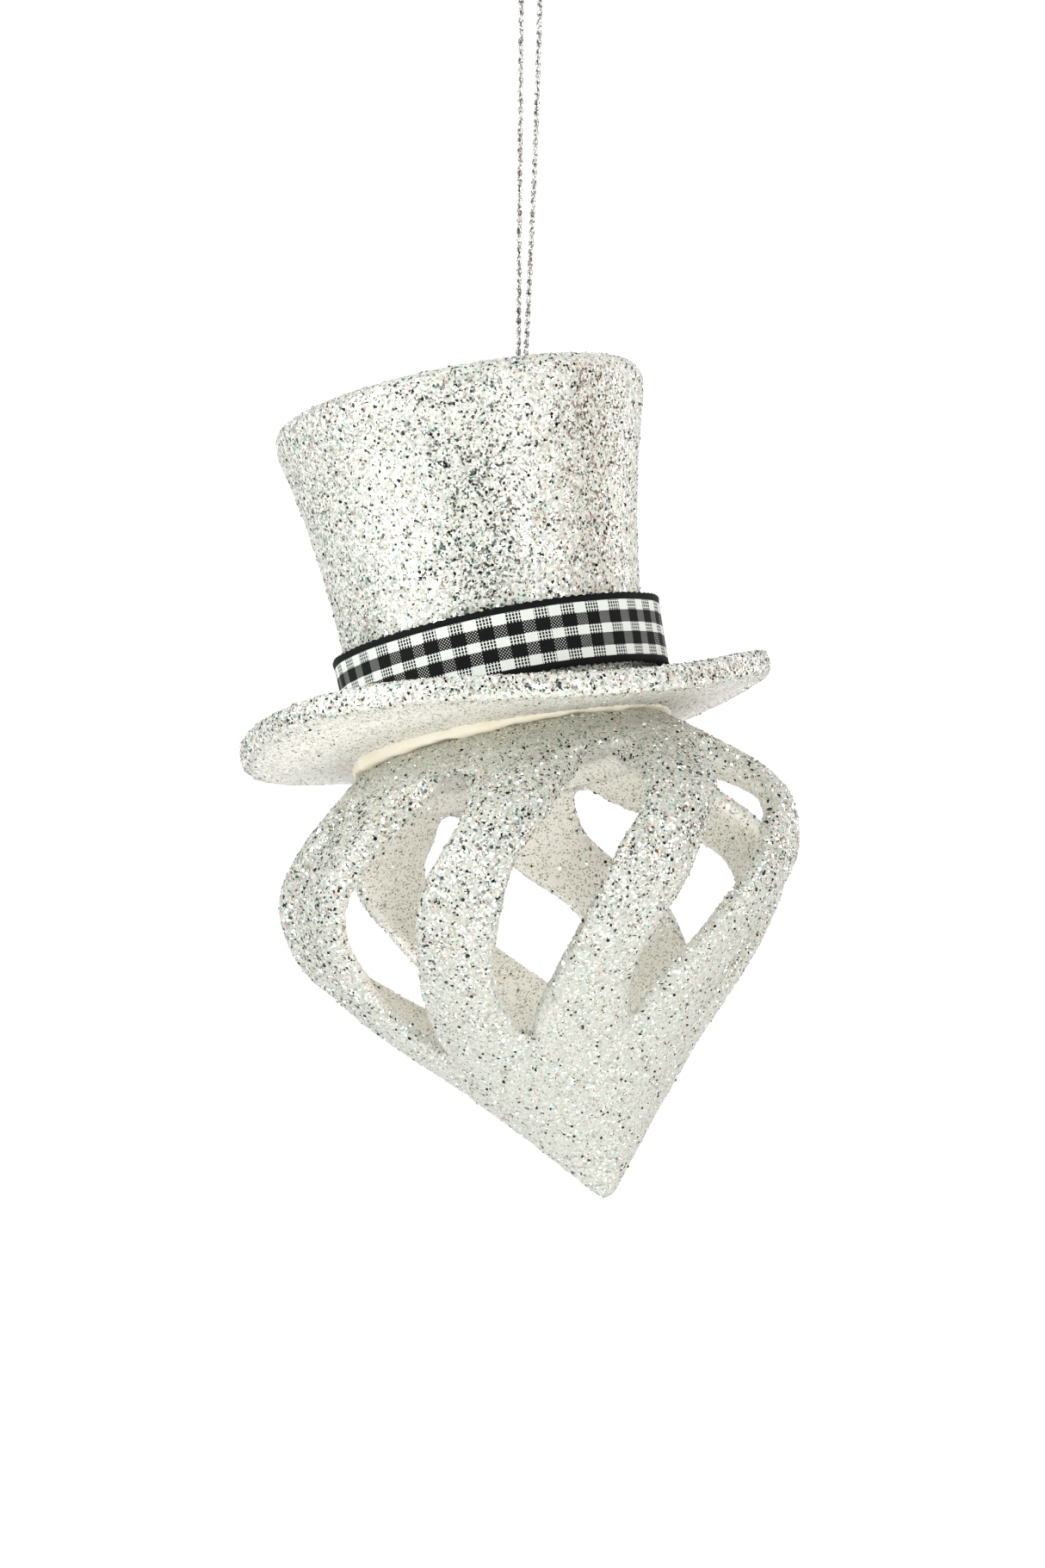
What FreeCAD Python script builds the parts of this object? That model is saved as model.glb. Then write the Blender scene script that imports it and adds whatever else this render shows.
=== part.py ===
"""Hanging ornament: a glittered top hat glued on an openwork spiral drop, hung on a cord loop.

Lengths are millimetres and angles degrees.  The origin is the bight of the cord loop, where a
hook holds it, and +Z is up, so the whole object lies below the origin.  The ornament hangs with
a lean, because the cord leaves the crown beside its centre.
"""
import FreeCAD, Part
import math
import os

import Sketcher
from FreeCAD import Placement, Rotation, Vector

DIMENSIONS = [
    # how it hangs
    ("ornament_lean", 11.8),
    ("loop_drop", 62.0),
    ("exit_shift", -1.42),
    ("cord_diameter", 0.8),
    ("knot_radius", 1.15),
    ("knot_seat", 0.8),
    # crown of the hat
    ("crown_lean", 2.9),
    ("crown_base_level", 4.5),
    ("crown_base_radius", 21.3),
    ("crown_top_radius", 26.7),
    ("crown_height", 47.5),
    ("crown_band", 4.0),
    ("crown_side_radius", 210.0),
    ("crown_wall", 1.9),
    ("crown_edge_fillet", 2.2),
    ("crown_foot", 0.8),
    ("cord_hole_radius", 1.25),
    ("cord_hole_offset", 9.93),
    # brim
    ("brim_lean", 1.3),
    ("brim_level", 1.2),
    ("brim_radius", 38.7),
    ("brim_thickness", 3.0),
    ("brim_bend_radius", 260.0),
    ("brim_bend_turn", 28.0),
    ("brim_blank", 90.0),
    ("brim_hole_radius", 15.0),
    # ribbon round the crown
    ("ribbon_width", 10.0),
    ("ribbon_thickness", 0.35),
    ("ribbon_level", 2.1),
    ("ribbon_tilt", 2.6),
    ("ribbon_radius", 23.2),
    ("ribbon_shift", 0.45),
    ("ribbon_lift", 1.0),
    ("ribbon_start", 62.0),
    ("ribbon_end", 84.0),
    ("dab_radius", 2.2),
    ("dab_length", 1.35),
    ("dab_reach", 22.1),
    # glue line under the hat
    ("seam_radius", 23.4),
    ("seam_height", 2.6),
    ("seam_hole_radius", 16.0),
    # spiral cage
    ("rib_count", 8),
    ("rib_phase", 5.2),
    ("rib_thickness_shoulder", 4.3),
    ("rib_thickness_waist", 3.5),
    ("rib_gap", 0.4),
    ("cap_depth", 5.6),
    ("cap_rim_radius", 29.4),
    ("cap_top_radius", 22.3),
    ("cap_rim_inner_radius", 22.8),
    ("cap_ceiling_radius", 18.5),
    ("cap_ceiling", 3.2),
    ("tip_top_depth", 48.0),
    ("tip_top_radius", 17.2),
    ("tip_waist_depth", 57.0),
    ("tip_waist_radius", 9.2),
    ("tip_depth", 67.0),
    ("tip_end_radius", 0.9),
    # knot and tails under the crown's top
    ("inner_knot_radius", 2.2),
    ("inner_knot_height", 3.0),
    ("tail_length", 9.0),
    ("tail_spread", 14.0),
]

# Outline of the cage: depth below the glue line and radius there.
OUTLINE = [(0.0, 22.3), (4.0, 27.3), (8.0, 32.3), (13.5, 37.0), (19.0, 38.8), (25.0, 37.8),
           (32.5, 32.5), (40.0, 25.3), (48.0, 17.2), (57.0, 9.2), (67.0, 0.9)]
# Turn of a rib about the axis against depth, clockwise as seen from above.
TURN = [(0.0, 0.0), (5.0, 4.6), (11.0, 10.2), (20.0, 20.6), (30.0, 29.8), (42.0, 45.0),
        (67.0, 62.0)]
# Width of a rib round the cage against depth.
WIDTH = [(0.0, 21.0), (4.0, 17.8), (8.0, 14.3), (12.0, 13.1), (26.0, 13.5), (36.0, 12.2),
         (50.0, 15.5), (67.0, 15.5)]
# Depths between which a rib thins from its shoulder to its waist.
THINNING_START = 8.0
THINNING_END = 35.0
# Depths of the sections that a rib is lofted through.
RIB_STATIONS = [2.0, 5.5, 9.0, 12.5, 16.5, 21.0, 26.0, 31.0, 36.0, 40.0, 43.0, 46.0,
                49.0, 52.0]
SECTION_POINTS = 20
SECTION_SQUARENESS = 3.0
DEPTH_STEP = 0.05

# The cord loop: height of the strands' ends over the knot's centre, half the gap between them,
# half the width of the bight, and the place (x, z) where the right strand bows out.
STRAND_START = 1.38
STRAND_HALF_GAP = 0.5
BIGHT_HALF_WIDTH = 1.43
BOW_PLACE = (0.55, -31.0)
# Share of the shorter of its two runs that an arc of the cord takes up.
ARC_SHARE = 0.45
# Room left above and below the knot inside the crown.
KNOT_GAP = 0.05

FULL_TURN = 360.0
LEFT, RIGHT = 1, -1
NEAR = 1e-6
X_AXIS = Vector(1, 0, 0)
Y_AXIS = Vector(0, 1, 0)
Z_AXIS = Vector(0, 0, 1)

os.makedirs("parts", exist_ok=True)
doc = FreeCAD.newDocument("hat_drop_ornament")
sheet = doc.addObject("Spreadsheet::Sheet", "dims")
for row, (alias, number) in enumerate(DIMENSIONS, start=1):
    sheet.set("A%d" % row, alias)
    sheet.set("B%d" % row, str(number))
    sheet.setAlias("B%d" % row, alias)
doc.recompute()


# ---------------------------------------------------------------- helpers

def dim(alias):
    return float(sheet.get(alias))


def smooth(table):
    """Monotone cubic curve through the (depth, value) pairs of a table."""
    xs = [pair[0] for pair in table]
    ys = [pair[1] for pair in table]
    steps = [(ys[i + 1] - ys[i]) / (xs[i + 1] - xs[i]) for i in range(len(xs) - 1)]
    slopes = [steps[0]]
    for before, after in zip(steps, steps[1:]):
        slopes.append(0.0 if before * after <= 0 else 2 * before * after / (before + after))
    slopes.append(steps[-1])

    def value(x):
        x = min(max(x, xs[0]), xs[-1])
        i = max(k for k in range(len(xs) - 1) if xs[k] <= x)
        span = xs[i + 1] - xs[i]
        u = (x - xs[i]) / span
        start = ys[i] * (1 + 2 * u) + slopes[i] * span * u
        end = ys[i + 1] * (3 - 2 * u) - slopes[i + 1] * span * (1 - u)
        return start * (1 - u) ** 2 + end * u ** 2

    return value


def bound(kind, name, placement=Placement(), **sizes):
    """Document object whose sizes follow expressions of the sheet."""
    thing = doc.addObject(kind, name)
    for size, expression in sizes.items():
        thing.setExpression(size, expression)
    thing.Placement = placement
    return thing


def cut(name, base, tool):
    thing = doc.addObject("Part::Cut", name)
    thing.Base = base
    thing.Tool = tool
    return thing


def common(name, base, tool):
    thing = doc.addObject("Part::Common", name)
    thing.Base = base
    thing.Tool = tool
    return thing


def new_body(name, placement):
    body = doc.addObject("PartDesign::Body", name)
    body.Placement = placement
    return body


def new_sketch(body, name, role):
    """Sketch on one of the body's own origin planes."""
    sketch = body.newObject("Sketcher::SketchObject", name)
    plane = next(f for f in body.Origin.OriginFeatures if f.Role == role)
    sketch.AttachmentSupport = [(plane, "")]
    sketch.MapMode = "FlatFace"
    return sketch


def pin_corner(sketch, side, end, across, up):
    """Hold one corner of a sketch at a place given by two expressions."""
    for kind, expression in (("DistanceX", across), ("DistanceY", up)):
        place = float(sketch.evalExpression(expression))
        number = sketch.addConstraint(Sketcher.Constraint(kind, -1, 1, side, end, place))
        sketch.setExpression("Constraints[%d]" % number, expression)


def bound_radius(sketch, side, expression):
    size = float(sketch.evalExpression(expression))
    number = sketch.addConstraint(Sketcher.Constraint("Radius", side, size))
    sketch.setExpression("Constraints[%d]" % number, expression)


def outline_sketch(body, name, corners, arcs=None):
    """Closed outline in the XZ plane; corners are pairs of expressions, across and up.

    arcs maps the number of a side to the expression of its radius and the hand, LEFT or RIGHT
    of its direction, that it bulges to.
    """
    arcs = arcs or {}
    sketch = new_sketch(body, name, "XZ_Plane")
    places = [Vector(float(sketch.evalExpression(across)), float(sketch.evalExpression(up)), 0)
              for across, up in corners]
    for i, start in enumerate(places):
        end = places[(i + 1) % len(places)]
        if i in arcs:
            radius = float(sketch.evalExpression(arcs[i][0]))
            half = (end - start).Length / 2
            bulge = Vector(start.y - end.y, end.x - start.x, 0).normalize() * arcs[i][1]
            sag = radius - math.sqrt(radius ** 2 - half ** 2)
            middle = (start + end) * 0.5 + bulge * sag
            first, last = (start, end) if arcs[i][1] == RIGHT else (end, start)
            side = Part.ArcOfCircle(first, middle, last)
        else:
            side = Part.LineSegment(start, end)
        sketch.addGeometry(side, False)
    ends = []
    for i, start in enumerate(places):
        forwards = sketch.Geometry[i].StartPoint.distanceToPoint(start) < NEAR
        ends.append((1, 2) if forwards else (2, 1))
    for i in range(len(places)):
        after = (i + 1) % len(places)
        meet = Sketcher.Constraint("Coincident", i, ends[i][1], after, ends[after][0])
        sketch.addConstraint(meet)
    for i, (across, up) in enumerate(corners):
        pin_corner(sketch, i, ends[i][0], across, up)
    for i, (expression, hand) in arcs.items():
        bound_radius(sketch, i, expression)
    return sketch


def revolve(body, sketch):
    feature = body.newObject("PartDesign::Revolution", sketch.Name + "_turned")
    feature.Profile = (sketch, [""])
    feature.ReferenceAxis = (sketch, ["V_Axis"])
    feature.Angle = FULL_TURN
    return feature


def round_edge(body, feature, radius, test):
    """Fillet the circular edges of the body's tip whose centre and radius pass a test."""
    doc.recompute()
    names = ["Edge%d" % number for number, edge in enumerate(feature.Shape.Edges, start=1)
             if isinstance(edge.Curve, Part.Circle) and test(edge.Curve.Center, edge.Curve.Radius)]
    fillet = body.newObject("PartDesign::Fillet", body.Name + "_rounded")
    fillet.Base = (feature, names)
    fillet.setExpression("Radius", radius)
    return fillet


def tilted(place, angle):
    """Placement at a point, turned about the Y axis."""
    return Placement(place, Rotation(Y_AXIS, angle))


# ---------------------------------------------------------------- where things are

crown_in_ornament = tilted(Vector(0, 0, dim("crown_base_level")), dim("crown_lean"))
pivot_in_crown = Vector(dim("cord_hole_offset"), 0, dim("crown_height") + dim("knot_seat"))
pivot = Vector(dim("exit_shift"), 0, -dim("loop_drop"))
lean = Rotation(Y_AXIS, -dim("ornament_lean"))
seam_centre = pivot - lean.multVec(crown_in_ornament.multVec(pivot_in_crown))
in_ornament = Placement(seam_centre, lean)
in_crown = in_ornament * crown_in_ornament
in_ribbon = in_crown * tilted(Vector(0, 0, dim("ribbon_level")), -dim("ribbon_tilt"))
in_brim = in_ornament * tilted(Vector(0, 0, dim("brim_level")), dim("brim_lean"))


# ---------------------------------------------------------------- hat

def make_brim():
    """Disc bent up at two sides, left of the front and right of the back, with a hole."""
    turned = Placement(Vector(), Rotation(Z_AXIS, dim("brim_bend_turn")))
    lying = turned * Placement(Vector(0, -dim("brim_blank") / 2, dim("brim_bend_radius")),
                               Rotation(X_AXIS, -90))
    under = bound("Part::Cylinder", "brim_under", in_brim * lying,
                  Radius="dims.brim_bend_radius", Height="dims.brim_blank")
    over = bound("Part::Cylinder", "brim_over", in_brim * lying,
                 Radius="dims.brim_bend_radius - dims.brim_thickness", Height="dims.brim_blank")
    below = in_brim * Placement(Vector(0, 0, -dim("brim_thickness")), Rotation())
    round_blank = bound("Part::Cylinder", "brim_round", below,
                        Radius="dims.brim_radius", Height="dims.brim_radius")
    disc = common("brim_disc", cut("brim_bent", under, over), round_blank)
    hole = bound("Part::Cylinder", "brim_hole", below,
                 Radius="dims.brim_hole_radius", Height="dims.brim_radius")
    return cut("hat_brim", disc, hole)


def make_crown(brim):
    """Hollow crown, hollow-sided and flared upwards, seated on the brim's bent top."""
    body = new_body("crown_body", in_crown)
    side_top = "dims.crown_height - dims.crown_band"
    inside_base = "dims.crown_base_radius - dims.crown_wall"
    inside_top = "dims.crown_top_radius - dims.crown_wall"
    ceiling = "dims.crown_height - dims.crown_wall"
    outline_of_wall = outline_sketch(
        body, "crown_wall_outline",
        [("0", "dims.crown_height"), ("dims.crown_top_radius", "dims.crown_height"),
         ("dims.crown_top_radius", side_top), ("dims.crown_base_radius", "0"),
         ("dims.crown_base_radius", "-1 * dims.crown_foot"),
         (inside_base, "-1 * dims.crown_foot"), (inside_base, "0"), (inside_top, side_top),
         (inside_top, ceiling), ("0", ceiling)],
        {2: ("dims.crown_side_radius", RIGHT), 6: ("dims.crown_side_radius", LEFT)})
    wall = revolve(body, outline_of_wall)
    top = dim("crown_height")
    rounded = round_edge(body, wall, "dims.crown_edge_fillet",
                         lambda centre, radius: abs(centre.z - top) < NEAR)
    body.Tip = rounded
    hole = bound("Part::Cylinder", "cord_hole",
                 in_crown * Placement(Vector(dim("cord_hole_offset"), 0, 0), Rotation()),
                 Radius="dims.cord_hole_radius", Height="dims.crown_height * 2")
    return cut("crown_shell", cut("crown_seated", body, brim), hole)


def ribbon_outline():
    """Ring round the crown whose outer end laps over the inner one and stands off it."""
    def strip_side(offset):
        inner = dim("ribbon_radius") + offset
        outer = inner + dim("ribbon_lift")
        centre = Vector(dim("ribbon_shift"), 0, 0)
        lapped = centre + Vector(0, dim("ribbon_lift"), 0)

        def at(middle, radius, angle):
            turned = math.radians(angle)
            return middle + Vector(radius * math.sin(turned), -radius * math.cos(turned), 0)

        start, end = dim("ribbon_start"), dim("ribbon_end")
        ring = Part.Arc(at(centre, inner, start), at(centre, inner, (start + FULL_TURN) / 2),
                        at(centre, inner, FULL_TURN))
        lap = Part.Arc(at(lapped, outer, 0), at(lapped, outer, end / 2), at(lapped, outer, end))
        return ring, lap

    ring_in, lap_in = strip_side(0)
    ring_out, lap_out = strip_side(dim("ribbon_thickness"))
    inner_end = Part.LineSegment(ring_out.value(ring_out.FirstParameter),
                                 ring_in.value(ring_in.FirstParameter))
    outer_end = Part.LineSegment(lap_in.value(lap_in.LastParameter),
                                 lap_out.value(lap_out.LastParameter))
    edges = [curve.toShape() for curve in (inner_end, ring_in, lap_in, outer_end, lap_out, ring_out)]
    return Part.Wire(Part.__sortEdges__(edges))


def make_ribbon():
    ribbon = doc.addObject("Part::Feature", "ribbon_band")
    ribbon.Shape = Part.Face(ribbon_outline()).extrude(Vector(0, 0, dim("ribbon_width")))
    ribbon.Placement = in_ribbon
    return ribbon


def make_ribbon_dab():
    """Dab of glue that holds the ribbon's lapped end to the crown."""
    outwards = tilted(Vector(dim("dab_reach"), 0, dim("ribbon_width") / 2), 90)
    return bound("Part::Cylinder", "ribbon_glue_dab", in_ribbon * outwards,
                 Radius="dims.dab_radius", Height="dims.dab_length")


# ---------------------------------------------------------------- cage

def make_glue_seam(brim):
    """Bead of glue between the cage and the underside of the brim."""
    body = new_body("seam_body", in_ornament)
    ring = outline_sketch(
        body, "seam_outline",
        [("dims.seam_hole_radius", "0"), ("dims.seam_radius", "0"),
         ("dims.seam_radius", "dims.seam_height"), ("dims.seam_hole_radius", "dims.seam_height")])
    revolve(body, ring)
    return cut("glue_seam", body, brim)


def make_cap():
    """Domed top of the cage, from which the ribs run down."""
    body = new_body("cage_cap", in_ornament)
    dome = outline_sketch(
        body, "cap_outline",
        [("0", "0"), ("dims.cap_top_radius", "0"), ("dims.cap_rim_radius", "-1 * dims.cap_depth"),
         ("dims.cap_rim_inner_radius", "-1 * dims.cap_depth"),
         ("dims.cap_ceiling_radius", "-1 * dims.cap_ceiling"), ("0", "-1 * dims.cap_ceiling")])
    revolve(body, dome)
    return body


def make_tip():
    """Solid point in which the ribs end."""
    body = new_body("cage_tip", in_ornament)
    point = outline_sketch(
        body, "tip_outline",
        [("0", "-1 * dims.tip_top_depth"), ("0", "-1 * dims.tip_depth"),
         ("dims.tip_end_radius", "-1 * dims.tip_depth"),
         ("dims.tip_waist_radius", "-1 * dims.tip_waist_depth"),
         ("dims.tip_top_radius", "-1 * dims.tip_top_depth")])
    revolve(body, point)
    return body


def kept_apart(point):
    """The point drawn back into its rib's share of the turn, half a gap from the next rib's."""
    reach = math.hypot(point.x, point.y)
    centre = math.radians(dim("rib_phase") - turn(-point.z))
    aside = math.remainder(math.atan2(point.x, -point.y) - centre, 2 * math.pi)
    share = math.pi / dim("rib_count") - dim("rib_gap") / 2 / reach
    angle = centre + min(max(aside, -share), share)
    return Vector(reach * math.sin(angle), -reach * math.cos(angle), point.z)


def rib_section(depth):
    """Soft-cornered section of a rib, square to the cage's outline at a depth."""
    radius = outline(depth)
    slope = (outline(depth + DEPTH_STEP) - outline(depth - DEPTH_STEP)) / (2 * DEPTH_STEP)
    steep = math.hypot(1, slope)
    share = (depth - THINNING_START) / (THINNING_END - THINNING_START)
    share = min(max(share, 0.0), 1.0)
    thickness = (dim("rib_thickness_shoulder") * (1 - share) + dim("rib_thickness_waist") * share)
    half_width = width(depth) / 2
    angle = math.radians(dim("rib_phase") - turn(depth))
    radial = Vector(math.sin(angle), -math.cos(angle), 0)
    around = Vector(math.cos(angle), math.sin(angle), 0)
    outwards = radial * (1 / steep) + Z_AXIS * (slope / steep)
    bend = radius * steep
    middle = radial * radius - Z_AXIS * depth - outwards * (thickness / 2)
    points = []
    for i in range(SECTION_POINTS):
        turned = 2 * math.pi * i / SECTION_POINTS
        power = 2 / SECTION_SQUARENESS
        across = math.copysign(abs(math.cos(turned)) ** power, math.cos(turned)) * half_width
        out = math.copysign(abs(math.sin(turned)) ** power, math.sin(turned)) * thickness / 2
        drop = bend - math.sqrt(bend ** 2 - across ** 2)
        points.append(kept_apart(middle + around * across + outwards * (out - drop)))
    ring = Part.BSplineCurve()
    ring.interpolate(points, PeriodicFlag=True)
    return Part.Wire([ring.toShape()])


def make_ribs():
    """Spiral ribs, alike and evenly spaced, cut level where they meet the cap and the tip."""
    span = dim("tip_top_depth") - dim("cap_depth")
    band = Part.makeCylinder(dim("brim_blank"), span, Vector(0, 0, -dim("tip_top_depth")))
    rib = Part.makeLoft([rib_section(depth) for depth in RIB_STATIONS], True, False).common(band)
    ribs = []
    for number in range(int(dim("rib_count"))):
        feature = doc.addObject("Part::Feature", "swirl_rib_%d" % (number + 1))
        feature.Shape = rib.Solids[0]
        spin = Rotation(Z_AXIS, FULL_TURN * number / dim("rib_count"))
        feature.Placement = in_ornament * Placement(Vector(), spin)
        ribs.append(feature)
    return ribs


# ---------------------------------------------------------------- cord

def make_exit_knot():
    """Small knot over the crown's hole, round about both of the axes that the ornament swings on."""
    turns = []
    for name, axis in (("knot_turn_side", Y_AXIS), ("knot_turn_fore_aft", X_AXIS),
                       ("knot_girth", Z_AXIS)):
        along = Rotation(Z_AXIS, axis)
        start = pivot - axis * dim("knot_radius")
        turns.append(bound("Part::Cylinder", name, Placement(start, along),
                           Radius="dims.knot_radius", Height="2 * dims.knot_radius"))
    knot = doc.addObject("Part::MultiCommon", "exit_knot")
    knot.Shapes = turns
    return knot


def make_inner_knot():
    """Flattened knot under the crown's top, too big for the hole."""
    low = dim("crown_height") - dim("crown_wall") - dim("inner_knot_height") / 2
    place = in_crown * Placement(Vector(dim("cord_hole_offset"), 0, low - KNOT_GAP), Rotation())
    return bound("Part::Ellipsoid", "inner_knot", place, Radius1="dims.inner_knot_height / 2",
                 Radius2="dims.inner_knot_radius", Radius3="dims.inner_knot_radius")


def make_tails():
    """The cord's two cut ends below the inner knot."""
    level = dim("crown_height") - dim("crown_wall") - dim("inner_knot_height") - 2 * KNOT_GAP
    tails = []
    for hand in (LEFT, RIGHT):
        start = Vector(dim("cord_hole_offset") + hand * dim("cord_diameter"), 0, level)
        place = in_crown * tilted(start, 180 - hand * dim("tail_spread"))
        tails.append(bound("Part::Cylinder", "cord_tail", place,
                           Radius="dims.cord_diameter / 2", Height="dims.tail_length"))
    both = doc.addObject("Part::MultiFuse", "cord_tails")
    both.Shapes = tails
    return both


def loop_route():
    """Corners of the loop's centre line, from one strand's end over the hook to the other's."""
    foot = pivot.z + STRAND_START
    return [Vector(pivot.x - STRAND_HALF_GAP, 0, foot), Vector(-BIGHT_HALF_WIDTH, 0, 0),
            Vector(BIGHT_HALF_WIDTH, 0, 0), Vector(BOW_PLACE[0], 0, BOW_PLACE[1]),
            Vector(pivot.x + STRAND_HALF_GAP, 0, foot)]


def rounded_path(route):
    """Straight runs joined by tangent arcs, each as large as its two runs allow."""
    edges = []
    here = route[0]
    for before, corner, after in zip(route, route[1:], route[2:]):
        back = (before - corner).normalize()
        ahead = (after - corner).normalize()
        turn_angle = math.pi - back.getAngle(ahead)
        reach = ARC_SHARE * min((before - corner).Length, (after - corner).Length)
        radius = reach / math.tan(turn_angle / 2)
        start = corner + back * reach
        end = corner + ahead * reach
        inwards = (back + ahead).normalize()
        middle = corner + inwards * (math.hypot(radius, reach) - radius)
        edges.append(Part.LineSegment(here, start).toShape())
        edges.append(Part.Arc(start, middle, end).toShape())
        print("cord arc radius %.2f mm, turn %.1f deg" % (radius, math.degrees(turn_angle)))
        here = end
    edges.append(Part.LineSegment(here, route[-1]).toShape())
    return Part.Wire(edges)


def make_cord():
    path = rounded_path(loop_route())
    radius = dim("cord_diameter") / 2
    ring = Part.Wire([Part.makeCircle(radius, loop_route()[0], path.Edges[0].tangentAt(0))])
    cord = doc.addObject("Part::Feature", "hanging_cord")
    cord.Shape = path.makePipeShell([ring], True, False)
    expected = math.pi * radius ** 2 * path.Length
    print("cord length %.2f mm, volume %.3f of %.3f mm3" % (path.Length, cord.Shape.Volume, expected))
    return cord


# ---------------------------------------------------------------- whole object

outline = smooth(OUTLINE)
turn = smooth(TURN)
width = smooth(WIDTH)

hat_brim = make_brim()
sub_parts = [
    make_cord(), make_exit_knot(), make_inner_knot(), make_tails(), make_crown(hat_brim),
    hat_brim, make_ribbon(), make_ribbon_dab(), make_glue_seam(hat_brim), make_cap(),
    *make_ribs(), make_tip(),
]
doc.recompute()

for thing in doc.Objects:
    if any(flag in ("Invalid", "Error") for flag in thing.State):
        raise SystemExit("%s did not build: %s" % (thing.Name, thing.getStatusString()))
for thing in sub_parts:
    if thing.Shape.isNull() or not thing.Shape.isValid() or not thing.Shape.Solids:
        raise SystemExit("%s has no valid solid" % thing.Name)
    thing.Label = thing.Name
    thing.Shape.exportStep("parts/%s.step" % thing.Label)
    print("%-16s %9.2f mm3  solids %d" % (thing.Label, thing.Shape.Volume, len(thing.Shape.Solids)))
print("pivot", pivot, "seam centre", seam_centre)
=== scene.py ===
import math

import bmesh
import bpy
import numpy as np
from mathutils import Matrix, Vector


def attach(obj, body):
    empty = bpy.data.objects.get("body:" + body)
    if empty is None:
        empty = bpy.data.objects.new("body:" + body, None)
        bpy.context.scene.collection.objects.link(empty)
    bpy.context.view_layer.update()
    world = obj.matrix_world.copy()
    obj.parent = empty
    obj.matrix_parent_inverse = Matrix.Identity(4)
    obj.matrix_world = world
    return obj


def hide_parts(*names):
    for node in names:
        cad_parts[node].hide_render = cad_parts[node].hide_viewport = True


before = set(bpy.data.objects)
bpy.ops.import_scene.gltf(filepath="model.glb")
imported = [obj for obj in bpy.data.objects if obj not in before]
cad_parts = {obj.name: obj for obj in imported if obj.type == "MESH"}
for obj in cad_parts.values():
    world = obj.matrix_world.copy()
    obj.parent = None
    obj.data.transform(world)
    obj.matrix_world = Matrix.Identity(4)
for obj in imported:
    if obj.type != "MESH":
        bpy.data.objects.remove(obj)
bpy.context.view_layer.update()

MM = 0.001
FULL_TURN = 2 * math.pi
ORNAMENT = "ornament"
CAGE_NODES = ["cage_cap", *("swirl_rib_%d" % k for k in range(1, 9)), "cage_tip"]

# ---------------------------------------------------------------- places, as in the CAD

# Levels are in mm up the axis of the frame that a frame stands in, leans in degrees about Y.
PIVOT = Vector((-1.42, 0, -62.0)) * MM
SEAM_CENTRE = Vector((-2.8377, 0, -115.6596)) * MM
ORNAMENT_LEAN = -11.8
CROWN_LEVEL, CROWN_LEAN = 4.5, 2.9
RIBBON_LEVEL, RIBBON_LEAN = 2.1, -2.6
BRIM_LEVEL, BRIM_LEAN = 1.2, 1.3
Y_AXIS = np.array((0.0, 1.0, 0.0))


def placed(base, level, lean):
    turn = Matrix.Rotation(math.radians(lean), 4, "Y")
    return base @ Matrix.Translation((0, 0, level * MM)) @ turn


IN_ORNAMENT = placed(Matrix.Translation(SEAM_CENTRE), 0, ORNAMENT_LEAN)
IN_CROWN = placed(IN_ORNAMENT, CROWN_LEVEL, CROWN_LEAN)
IN_RIBBON = placed(IN_CROWN, RIBBON_LEVEL, RIBBON_LEAN)
IN_BRIM = placed(IN_ORNAMENT, BRIM_LEVEL, BRIM_LEAN)


def local(place, points):
    """Points of the object's frame in a placement's own frame."""
    return in_object(place.inverted(), points)


def in_object(place, points):
    turn = np.array(place, float)
    return points @ turn[:3, :3].T + turn[:3, 3]


def up_axis(place):
    return np.array(place, float)[:3, 2]


def faded(values, zero, one, least=0.0):
    """0 where a value is at zero or beyond, 1 where it is at one or beyond, at least least."""
    return np.clip((values - zero) / (one - zero), least, 1)


# ---------------------------------------------------------------- camera

CAMERA_DISTANCE = 0.8
CAMERA_RISE = 0.119
CAMERA_TARGET = Vector((-1.28, 0, -121.4)) * MM
CAMERA_LENS, SENSOR_WIDTH = 126.5, 36
CAMERA_REACH = (0.02, 30)


def make_camera():
    towards = Vector((0, math.cos(CAMERA_RISE), math.sin(CAMERA_RISE)))
    data = bpy.data.cameras.new("camera")
    data.sensor_width = SENSOR_WIDTH
    data.lens = CAMERA_LENS
    data.clip_start, data.clip_end = CAMERA_REACH
    camera = bpy.data.objects.new("camera", data)
    bpy.context.scene.collection.objects.link(camera)
    camera.location = CAMERA_TARGET - towards * CAMERA_DISTANCE
    camera.rotation_euler = towards.to_track_quat("-Z", "Y").to_euler()
    bpy.context.scene.camera = camera


# ---------------------------------------------------------------- meshes

SAME_POINT = 1e-7
SMOOTHING = 0.5
GRAIN_OUTWARDS = (-0.3, 1)
SOME_WAY = (0.31, 0.87, 0.38)


def new_piece(name, mesh, body, material):
    mesh.name = name
    piece = bpy.data.objects.new(name, mesh)
    bpy.context.scene.collection.objects.link(piece)
    mesh.materials.clear()
    mesh.materials.append(material)
    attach(piece, body)
    return piece


def shade_smooth(mesh, smooth=True):
    mesh.polygons.foreach_set("use_smooth", [smooth] * len(mesh.polygons))


def mesh_of(points, faces, smooth=True):
    mesh = bpy.data.meshes.new("made")
    mesh.from_pydata(points.tolist(), [], faces)
    mesh.update()
    shade_smooth(mesh, smooth)
    return mesh


def add_attribute(mesh, name, values):
    layer = mesh.attributes.new(name, "FLOAT", "POINT")
    layer.data.foreach_set("value", np.asarray(values, np.float32))


def vertices(mesh):
    flat = np.empty(len(mesh.vertices) * 3)
    mesh.vertices.foreach_get("co", flat)
    return flat.reshape(-1, 3)


def normals(mesh):
    flat = np.empty(len(mesh.vertices) * 3, np.float32)
    mesh.vertex_normals.foreach_get("vector", flat)
    return flat.reshape(-1, 3).astype(float)


def move_to(mesh, points):
    mesh.vertices.foreach_set("co", points.ravel())
    mesh.update()


def unit(directions):
    return directions / np.linalg.norm(directions, axis=1)[:, None]


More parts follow.
